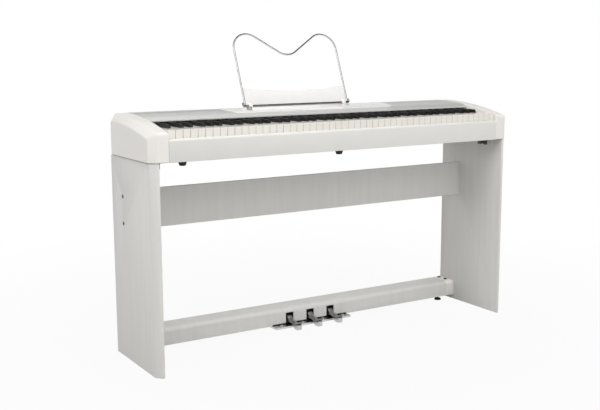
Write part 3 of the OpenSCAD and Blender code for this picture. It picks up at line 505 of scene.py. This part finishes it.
# %% Screw tree
screw_tree, screw_in, screw_out = new_tree(
    "set_screws", [("Head", "Object"), ("Finish", "Material")])
head_info = screw_tree.nodes.new("GeometryNodeObjectInfo")
facing = screw_tree.nodes.new("GeometryNodeInputNamedAttribute")
facing.data_type = "FLOAT_VECTOR"
facing.inputs["Name"].default_value = "facing"
aim = screw_tree.nodes.new("FunctionNodeAlignRotationToVector")
aim.axis = "Z"
copies = screw_tree.nodes.new("GeometryNodeInstanceOnPoints")
screw_tree.links.new(screw_in.outputs["Head"], head_info.inputs["Object"])
screw_tree.links.new(facing.outputs["Attribute"], aim.inputs["Vector"])
screw_tree.links.new(screw_in.outputs["Geometry"], copies.inputs["Points"])
screw_tree.links.new(head_info.outputs["Geometry"], copies.inputs["Instance"])
screw_tree.links.new(aim.outputs["Rotation"], copies.inputs["Rotation"])
end_tree(screw_tree, screw_in, screw_out, copies.outputs["Instances"])
print("screw tree nodes", len(screw_tree.nodes))


# %% Screw head shape


def socket_head(name, radius, height, socket, shank, shank_radius):
    """A screw along Z: head top at z = 0, domed rim, hexagon recess and shank below."""
    work = bmesh.new()
    sides = 24
    rings = []
    profile = [(shank_radius, -shank), (shank_radius, -height), (radius, -height), (radius, -0.25 * height),
               (0.86 * radius, 0.0), (socket, 0.0), (socket, -0.6 * height)]
    for index, (ring_radius, z) in enumerate(profile):
        ring = []
        for k in range(sides):
            a = 2 * math.pi * k / sides
            r = ring_radius
            if index >= len(profile) - 2:
                sector = (a % (math.pi / 3)) - math.pi / 6
                r = ring_radius * math.cos(math.pi / 6) / math.cos(sector)
            ring.append(work.verts.new((r * math.cos(a), r * math.sin(a), z)))
        rings.append(ring)
    for lower, upper in zip(rings, rings[1:]):
        for k in range(sides):
            k2 = (k + 1) % sides
            work.faces.new((lower[k], lower[k2], upper[k2], upper[k]))
    work.faces.new(list(reversed(rings[0])))
    work.faces.new(rings[-1])
    mesh = bpy.data.meshes.new(name)
    work.to_mesh(mesh)
    work.free()
    return add_piece(name, mesh)


def points_mesh(name, points):
    """Loose points that carry the direction that each one faces."""
    mesh = bpy.data.meshes.new(name)
    mesh.from_pydata([p for p, _ in points], [], [])
    direction = mesh.attributes.new("facing", "FLOAT_VECTOR", "POINT")
    for index, (_, towards) in enumerate(points):
        direction.data[index].vector = towards
    return mesh


# %% Set the stand screws
leg_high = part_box("right_leg")[1]
modesty_low, modesty_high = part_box("modesty_panel")
bar_low, bar_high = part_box("bottom_bar")
block_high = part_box("bar_end_blocks")[1]
screw_y = (modesty_low.y + modesty_high.y) / 2
block_x = (bar_high.x + block_high.x) / 2
stand_points = []
for side in (-1, 1):
    for z in (modesty_low.z + 20 * MM, modesty_high.z - 19 * MM):
        stand_points.append(((side * leg_high.x, screw_y, z), (side, 0, 0)))
    for y in (bar_low.y + 30 * MM, bar_high.y - 13 * MM):
        stand_points.append(((side * block_x, y, bar_high.z + 3 * MM), (0, 0, 1)))
stand_head = socket_head("stand_head", 6 * MM, 3 * MM, 2.9 * MM, 20 * MM, 3 * MM)
stand_for(run_tree(screw_tree, "stand_socket_screws", points_mesh("stand_points", stand_points),
                   {"Head": stand_head, "Finish": dark_steel}), "stand_screws")

# %% [markdown]
# ## Case
# Each end block is a plastic moulding: its side outline follows one long arc from the low front to the
# high back, and its outer edges are cut by a broad bevel. We loft three copies of that outline across
# the block's width, which gives clean quads, and then round the remaining corners.

# %% End blocks
case_low, case_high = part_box("right_end_block")
BEVEL = 20 * MM
CORNER = 16 * MM
LEVEL_BACK = 9 * MM
FRONT_HEIGHT, BACK_HEIGHT = 83 * MM, 123.5 * MM
level_y = case_high.y - LEVEL_BACK
rise = BACK_HEIGHT - FRONT_HEIGHT
top_radius = ((level_y - case_low.y) ** 2 + rise ** 2) / (2 * rise)


def top_height(y):
    """Height of the case's top above its underside, along the long arc."""
    return BACK_HEIGHT - top_radius + math.sqrt(top_radius ** 2 - (level_y - y) ** 2)


def top_tilt(y):
    """Angle of the top's slope at y."""
    return math.asin((level_y - y) / top_radius)


def block_outline(inset):
    """Side outline of an end block as (y, z), pulled in by an inset."""
    y0, y1 = case_low.y + inset, case_high.y - inset
    arc_end = y1 - CORNER
    points = [(y0, 0), (y1, 0)]
    for step in range(9):
        a = math.radians(11.25 * step)
        points.append((arc_end + CORNER * math.cos(a),
                       top_height(arc_end) - CORNER - inset + CORNER * math.sin(a)))
    for step in range(20, -1, -1):
        y = y0 + 3 * MM + (arc_end - y0 - 3 * MM) * step / 20
        points.append((y, top_height(y) - inset))
    points.append((y0, top_height(y0) - inset - 4 * MM))
    return [(y, case_low.z + z) for y, z in points]


def end_block(name, side):
    """Lofts the outline across one block and rounds it."""
    stations = [(case_low.x, 0), (case_high.x - BEVEL, 0), (case_high.x, BEVEL)]
    work = bmesh.new()
    rings = [[work.verts.new((side * x, y, z)) for y, z in block_outline(inset)] for x, inset in stations]
    for inner, outer in zip(rings, rings[1:]):
        for k in range(len(inner)):
            k2 = (k + 1) % len(inner)
            work.faces.new((inner[k], outer[k], outer[k2], inner[k2]))
    work.faces.new(rings[0])
    work.faces.new(list(reversed(rings[-1])))
    bmesh.ops.remove_doubles(work, verts=work.verts, dist=1e-5)
    bmesh.ops.recalc_face_normals(work, faces=work.faces)
    mesh = bpy.data.meshes.new(name)
    work.to_mesh(mesh)
    work.free()
    return round_edges(add_piece(name, mesh, satin_white), 3.2 * MM, 4, 24)


for side, node in ((-1, "left_end_block"), (1, "right_end_block")):
    stand_for(end_block(node.replace("_block", "_moulding"), side), node)
print("end blocks", round(case_high.x - case_low.x, 4), "m wide")

# %% Cover, key slip and underside
soften("top_cover", "silver_top_cover", silver_cover, 0.8 * MM)
soften("key_slip", "front_key_slip", rail_white, 0.9 * MM, 3)
soften("case_bottom", "case_floor", rail_white, 0.4 * MM)
soften("case_feet", "case_rubber_feet", rubber, 1.2 * MM, 3)
frame["nodes"]["case_screws"].data.materials[0] = plate_steel
print("case mouldings done")

# %% [markdown]
# ## Control panel
# A raised white swoosh carries the controls. The panel's plan has rounded flanks, and its edge is eased
# all round. The buttons are small grey caps with soft corners, each riding on its own body, so
# each can be pressed.

# %% Panel and buttons
soften("control_panel", "raised_panel", panel_gloss, 0.9 * MM, 3)
for index in range(1, 7):
    soften(f"button_{index}", f"button_{index}_cap", button_grey, 0.7 * MM, 3)
soften("power_button", "power_button_cap", button_grey, 0.8 * MM, 3)

# %% [markdown]
# The volume knob is turned from a short profile. Its grip is a ring of thin ribs, which a tree spaces
# evenly round a circle: the count, radius and size of the ribs are all inputs.

# %% Knob rib tree
rib_tree, rib_in, rib_out = new_tree("knob_ribs", [
    ("Ribs", "Int"), ("Radius", "Float"), ("Rib Size", "Vector"), ("Finish", "Material")])
circle = rib_tree.nodes.new("GeometryNodeMeshCircle")
rib = rib_tree.nodes.new("GeometryNodeMeshCube")
order = rib_tree.nodes.new("GeometryNodeInputIndex")
share = rib_tree.nodes.new("ShaderNodeMath")
share.operation = "DIVIDE"
angle = rib_tree.nodes.new("ShaderNodeMath")
angle.operation = "MULTIPLY"
angle.inputs[1].default_value = 2 * math.pi
spin = rib_tree.nodes.new("ShaderNodeCombineXYZ")
ribs = rib_tree.nodes.new("GeometryNodeInstanceOnPoints")
both = rib_tree.nodes.new("GeometryNodeJoinGeometry")
for source, target in (
        (rib_in.outputs["Ribs"], circle.inputs["Vertices"]),
        (rib_in.outputs["Radius"], circle.inputs["Radius"]),
        (rib_in.outputs["Rib Size"], rib.inputs["Size"]), (order.outputs[0], share.inputs[0]),
        (rib_in.outputs["Ribs"], share.inputs[1]), (share.outputs[0], angle.inputs[0]),
        (angle.outputs[0], spin.inputs["Z"]), (circle.outputs["Mesh"], ribs.inputs["Points"]),
        (rib.outputs["Mesh"], ribs.inputs["Instance"]), (spin.outputs[0], ribs.inputs["Rotation"]),
        (ribs.outputs["Instances"], both.inputs[0]), (rib_in.outputs["Geometry"], both.inputs[0])):
    rib_tree.links.new(source, target)
end_tree(rib_tree, rib_in, rib_out, both.outputs[0])

# %% Knob
KNOB_HEIGHT = 9 * MM
KNOB_RIBS = 36
KNOB_SET_BACK = 44 * MM
KNOB_FOOT = 2.9 * MM
knob_box_low, knob_box_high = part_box("volume_knob")
knob_radius = (knob_box_high.x - knob_box_low.x) / 2
knob_x = (knob_box_high.x + knob_box_low.x) / 2
panel_front_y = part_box("control_panel")[0].y + 1 * MM
knob_y = panel_front_y + KNOB_SET_BACK


def lathe(name, profile, sides=48):
    """A closed body turned from (radius, z) points about Z."""
    work = bmesh.new()
    rings = [[work.verts.new((r * math.cos(2 * math.pi * k / sides),
                              r * math.sin(2 * math.pi * k / sides), z))
              for k in range(sides)] for r, z in profile]
    for lower, upper in zip(rings, rings[1:]):
        for k in range(sides):
            k2 = (k + 1) % sides
            work.faces.new((lower[k], lower[k2], upper[k2], upper[k]))
    work.faces.new(list(reversed(rings[0])))
    work.faces.new(rings[-1])
    mesh = bpy.data.meshes.new(name)
    work.to_mesh(mesh)
    work.free()
    return mesh


grip = knob_radius - 0.5 * MM
middle = KNOB_HEIGHT / 2
knob_mesh = lathe("volume_knob_turned", [
    (grip - 0.2 * MM, -middle), (grip, -middle + 0.3 * MM), (grip, middle - 1.0 * MM),
    (grip - 0.3 * MM, middle - 0.4 * MM), (grip - 0.9 * MM, middle), (grip - 2.6 * MM, middle),
    (grip - 3.4 * MM, middle - 0.5 * MM), (0.3 * MM, middle - 0.5 * MM)])
knob = run_tree(rib_tree, "volume_knob_knurled", knob_mesh, {
    "Ribs": KNOB_RIBS, "Radius": grip, "Rib Size": (0.9 * MM, 0.55 * MM, KNOB_HEIGHT - 2.4 * MM),
    "Finish": cast_steel})
knob_tilt = Matrix.Rotation(top_tilt(knob_y), 4, "X")
knob_foot = Vector((knob_x, knob_y, case_low.z + top_height(knob_y)))
knob.data.transform(
    Matrix.Translation(knob_foot) @ knob_tilt @ Matrix.Translation((0, 0, KNOB_FOOT + middle)))
stand_for(knob, "volume_knob")

# %% [markdown]
# ## Keyboard
# There are 52 white and 36 black keys. Every octave repeats, so one key shape per note name is enough:
# a tree lays the shape out along the keyboard at the octave's pitch. The lowest A and the highest C
# have a straight side where their neighbour is missing, so they are modelled apart and joined in.

# %% Octave tree
octave_tree, octave_in, octave_out = new_tree("octave_row", [
    ("Key", "Object"), ("Odd Key", "Object"), ("Count", "Int"), ("Octave", "Float"), ("Finish", "Material")])
key_info = octave_tree.nodes.new("GeometryNodeObjectInfo")
odd_info = octave_tree.nodes.new("GeometryNodeObjectInfo")
row = octave_tree.nodes.new("GeometryNodeMeshLine")
pitch = octave_tree.nodes.new("ShaderNodeCombineXYZ")
keys_on_row = octave_tree.nodes.new("GeometryNodeInstanceOnPoints")
with_odd = octave_tree.nodes.new("GeometryNodeJoinGeometry")
for source, target in (
        (octave_in.outputs["Key"], key_info.inputs["Object"]),
        (octave_in.outputs["Odd Key"], odd_info.inputs["Object"]),
        (octave_in.outputs["Count"], row.inputs["Count"]), (octave_in.outputs["Octave"], pitch.inputs["X"]),
        (pitch.outputs[0], row.inputs["Offset"]), (row.outputs["Mesh"], keys_on_row.inputs["Points"]),
        (key_info.outputs["Geometry"], keys_on_row.inputs["Instance"]),
        (keys_on_row.outputs["Instances"], with_odd.inputs[0]),
        (odd_info.outputs["Geometry"], with_odd.inputs[0])):
    octave_tree.links.new(source, target)
end_tree(octave_tree, octave_in, octave_out, with_odd.outputs[0])
print("octave tree nodes", len(octave_tree.nodes))

# %% Key sizes
WHITES = 52
BLACK_SHIFT = {0: 4 * MM, 2: -3.2 * MM, 3: 3.2 * MM, 5: -4 * MM, 6: 0.0}
KEY_GAP, BLACK_W, BLACK_RISE = 1.0 * MM, 11 * MM, 11 * MM
BLACK_LEN, KEY_BODY, KEY_LIP, TAIL_CUT = 94 * MM, 20 * MM, 28 * MM, 18 * MM
keys_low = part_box("keys_a")[0]
white_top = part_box("keys_a")[1].z
white_pitch = (2 * -keys_low.x + KEY_GAP) / WHITES
keys_half = white_pitch * WHITES / 2
lip_y = keys_low.y + 143 * MM
black_front_y = lip_y - BLACK_LEN
pivot_y = lip_y + 81 * MM
print("white pitch", round(white_pitch / MM, 3), "mm, key tops at", round(white_top, 4))


def joint_x(w):
    """X of the joint between white key w and the next one."""
    return -keys_half + (w + 1) * white_pitch


def has_black(w):
    return 0 <= w < WHITES - 1 and w % 7 in BLACK_SHIFT


def black_x(w):
    return joint_x(w) + BLACK_SHIFT[w % 7]


# %% White key shape


def prism(work, outline, z0, z1):
    """Adds an upright prism over a counter-clockwise plan outline."""
    lower = [work.verts.new((x, y, z0)) for x, y in outline]
    upper = [work.verts.new((x, y, z1)) for x, y in outline]
    for k in range(len(outline)):
        k2 = (k + 1) % len(outline)
        work.faces.new((lower[k], lower[k2], upper[k2], upper[k]))
    work.faces.new(list(reversed(lower)))
    work.faces.new(upper)


def white_key(w):
    """One white key in its real place: wide head, narrow tail and a front lip."""
    x0, x1 = joint_x(w - 1) + KEY_GAP / 2, joint_x(w) - KEY_GAP / 2
    t0 = black_x(w - 1) + BLACK_W / 2 + KEY_GAP if has_black(w - 1) else x0
    t1 = black_x(w) - BLACK_W / 2 - KEY_GAP if has_black(w) else x1
    head_y, front, tail = black_front_y - KEY_GAP, keys_low.y, pivot_y - TAIL_CUT
    outline = [(x0, front), (x1, front), (x1, head_y)]
    outline += [(t1, head_y)] if t1 != x1 else []
    outline += [(t1, tail), (t0, tail)]
    outline += [(t0, head_y), (x0, head_y)] if t0 != x0 else []
    work = bmesh.new()
    prism(work, outline, white_top - KEY_BODY, white_top)
    prism(work, [(x0, front), (x1, front), (x1, front + 2 * MM), (x0, front + 2 * MM)],
          white_top - KEY_LIP, white_top - KEY_BODY + 0.5 * MM)
    mesh = bpy.data.meshes.new(f"white_key_{w}")
    work.to_mesh(mesh)
    work.free()
    return round_edges(add_piece(f"white_key_{w}", mesh), 0.75 * MM, 3, 30)


# %% Black key shape


def black_key(w):
    """One black key: a body between the white ones and a tapered cap with a sloping front."""
    x, front, end = black_x(w), black_front_y, pivot_y - TAIL_CUT
    half, top_half = BLACK_W / 2, BLACK_W / 2 - 1 * MM
    base_z, cap_z = white_top - KEY_BODY, white_top + BLACK_RISE
    cap_end = lip_y + 4 * MM
    rings = [[(half, front, base_z), (half, end, base_z)],
             [(half, front, white_top), (half, cap_end + 2 * MM, white_top)],
             [(top_half, front + 6 * MM, cap_z), (top_half, cap_end, cap_z)]]
    work = bmesh.new()
    loops = []
    for (w0, y0, z0), (w1, y1, z1) in rings:
        loops.append([work.verts.new(c) for c in (
            (x - w0, y0, z0), (x + w0, y0, z0), (x + w1, y1, z1), (x - w1, y1, z1))])
    for lower, upper in zip(loops, loops[1:]):
        for k in range(4):
            k2 = (k + 1) % 4
            work.faces.new((lower[k], lower[k2], upper[k2], upper[k]))
    work.faces.new(list(reversed(loops[0])))
    work.faces.new(loops[-1])
    mesh = bpy.data.meshes.new(f"black_key_{w}")
    work.to_mesh(mesh)
    work.free()
    return round_edges(add_piece(f"black_key_{w}", mesh), 1.1 * MM, 3, 20)


# %% Lay out the keys
NOTES = ["a", "b", "c", "d", "e", "f", "g"]


def key_row(name, node, shape, first, count, odd, material):
    """Lays count keys out from the first white index, and adds the odd key."""
    key = shape(first)
    odd_key = shape(odd) if odd is not None else None
    row_piece = run_tree(octave_tree, name, bpy.data.meshes.new(name), {
        "Key": key, "Odd Key": odd_key, "Count": count, "Octave": 7 * white_pitch, "Finish": material})
    drop(key, *([odd_key] if odd_key else []))
    stand_for(row_piece, node)


for k, note in enumerate(NOTES):
    whites = [w for w in range(k, WHITES, 7)]
    odd = {0: 0, 2: 51}.get(k)
    regular = [w for w in whites if w != odd]
    key_row(f"white_keys_{note}", f"keys_{note}", white_key, regular[0], len(regular), odd, key_cream)
    if k in BLACK_SHIFT:
        blacks = [w for w in range(k, WHITES - 1, 7)]
        key_row(f"black_keys_{note}_sharp", f"keys_{note}_sharp", black_key, blacks[0], len(blacks),
                None, key_ebony)

# %% [markdown]
# ## Music rest
# The rest is one bright wire bent into two humps and a dip, above a low milky plate. It turns on a dark
# rod whose ends bend up into small hooks. Wire and rod are both tubes along a path, so one tree
# sweeps a round profile along whichever path it is given.

# %% Tube tree
tube_tree, tube_in, tube_out = new_tree("tube_on_path", [
    ("Radius", "Float"), ("Sides", "Int"), ("Finish", "Material")])
as_curve = tube_tree.nodes.new("GeometryNodeMeshToCurve")
profile = tube_tree.nodes.new("GeometryNodeCurvePrimitiveCircle")
sweep = tube_tree.nodes.new("GeometryNodeCurveToMesh")
sweep.inputs["Fill Caps"].default_value = True
for source, target in (
        (tube_in.outputs["Geometry"], as_curve.inputs["Mesh"]),
        (tube_in.outputs["Radius"], profile.inputs["Radius"]),
        (tube_in.outputs["Sides"], profile.inputs["Resolution"]),
        (as_curve.outputs["Curve"], sweep.inputs["Curve"]),
        (profile.outputs["Curve"], sweep.inputs["Profile Curve"])):
    tube_tree.links.new(source, target)
end_tree(tube_tree, tube_in, tube_out, sweep.outputs["Mesh"])


def path_mesh(name, points):
    """An open chain of edges through the points."""
    mesh = bpy.data.meshes.new(name)
    mesh.from_pydata(points, [(k, k + 1) for k in range(len(points) - 1)], [])
    return mesh


# %% Wire path
REST_HALF, REST_LEN, REST_DIP = 202 * MM, 252 * MM, 178 * MM
HUMP_R, DIP_R, WIRE_R, ROD_R = 55 * MM, 60 * MM, 3 * MM, 3.5 * MM
REST_TILT = math.radians(22)
rod_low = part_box("rest_bar")[0]
rod_y, rod_z = rod_low.y + ROD_R, rod_low.z + ROD_R
slope = Matrix.Translation((0, rod_y, rod_z)) @ Matrix.Rotation(math.pi / 2 - REST_TILT, 4, "X")


def arc(centre, radius, start, end, steps):
    """Points on an arc in the rest's own plane, angles in radians."""
    return [(centre[0] + radius * math.cos(start + (end - start) * k / steps),
             centre[1] + radius * math.sin(start + (end - start) * k / steps), 0) for k in range(steps + 1)]


hump = (REST_HALF - HUMP_R, REST_LEN - HUMP_R)
dip = (0, REST_DIP + DIP_R)
link = (hump[0] - dip[0], dip[1] - hump[1])
leave = math.pi / 2 - math.asin((HUMP_R + DIP_R) / math.hypot(*link)) + math.atan2(link[1], link[0])
wire_points = [(REST_HALF, ROD_R, 0)] + arc(hump, HUMP_R, 0, math.pi - leave, 28)
wire_points += arc(dip, DIP_R, 2 * math.pi - leave, math.pi + leave, 20)
wire_points += arc((-hump[0], hump[1]), HUMP_R, leave, math.pi, 28) + [(-REST_HALF, ROD_R, 0)]
wire = run_tree(tube_tree, "rest_wire", path_mesh("rest_path", wire_points),
                {"Radius": WIRE_R, "Sides": 20, "Finish": chrome})
wire.data.transform(slope)
stand_for(wire, "rest_frame")

# %% Rod with hooks, plate and hinge blocks
rod_half = REST_HALF + 10 * MM
HOOK_BEND, HOOK_RISE = 5 * MM, 12 * MM
right_end = [(rod_half - ROD_R - HOOK_BEND, 0, 0)]
right_end = [(x, y + HOOK_BEND, z) for x, y, z in
             arc((rod_half - ROD_R - HOOK_BEND, 0), HOOK_BEND, -math.pi / 2, 0, 8)]
rod_points = right_end + [(rod_half - ROD_R, HOOK_RISE, 0)]
rod_points = [(-x, y, z) for x, y, z in reversed(rod_points)] + rod_points
rod = run_tree(tube_tree, "rest_rod", path_mesh("rod_path", rod_points),
               {"Radius": ROD_R, "Sides": 20, "Finish": rod_finish})
rod.data.transform(slope)
stand_for(rod, "rest_bar")
soften("rest_plate", "rest_milky_plate", milky_sheet, 0.6 * MM)
soften("rest_hinges", "rest_hinge_blocks", satin_white, 0.5 * MM)
print("music rest done")

# %% [markdown]
# ## Pedals
# The pedals are polished castings: a flat arm leaves its slot, runs down in a long curve and ends in
# a thick toe. A wide bevel rounds the arms like a casting. The base plate under them is bright
# sheet steel, held by four screws on low bosses, set out with the screw tree again.

# %% Pedals, base plate and screws
for node in ("soft_pedal", "sostenuto_pedal", "damper_pedal"):
    soften(node, node + "_casting", cast_steel, 1.8 * MM, 3, 24)
soften("pedal_base", "pedal_base_plate", plate_steel, 0.8 * MM)
base_low, base_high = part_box("pedal_base_screws")
base_points = [((x, (base_low.y + base_high.y) / 2, base_high.z), (0, 0, 1))
               for x in (-123 * MM, -41 * MM, 41 * MM, 123 * MM)]
base_head = socket_head("base_head", 4.4 * MM, 1.6 * MM, 1.9 * MM, 9 * MM, 2 * MM)
stand_for(run_tree(screw_tree, "pedal_plate_screws", points_mesh("base_points", base_points),
                   {"Head": base_head, "Finish": chrome}), "pedal_base_screws")
drop(base_head, stand_head)
soften("pedal_housing", "pedal_box", black_moulding, 0.6 * MM)

# %% [markdown]
# ## Parts that keep their CAD shape
# Inside the case and at its back the CAD solids already show what they are: boards, springs, felts,
# sockets and speakers. They stay, and each gets a finish in place of its plain CAD colour.

# %% Remaining finishes
kept = {
    "pedal_shaft": plate_steel, "pedal_springs": spring_steel, "pedal_felts": felt, "key_frame": plate_steel,
    "key_rod": chrome, "key_felts": felt, "contact_strip": circuit_green, "main_board": circuit_green,
    "panel_board": circuit_green, "speakers": black_moulding, "socket_block": black_moulding,
    "power_inlet": black_moulding, "case_screws": plate_steel,
}
for node, material in kept.items():
    mesh = frame["nodes"][node].data
    for index in range(len(mesh.materials)):
        mesh.materials[index] = material
print("kept CAD nodes", len(kept))
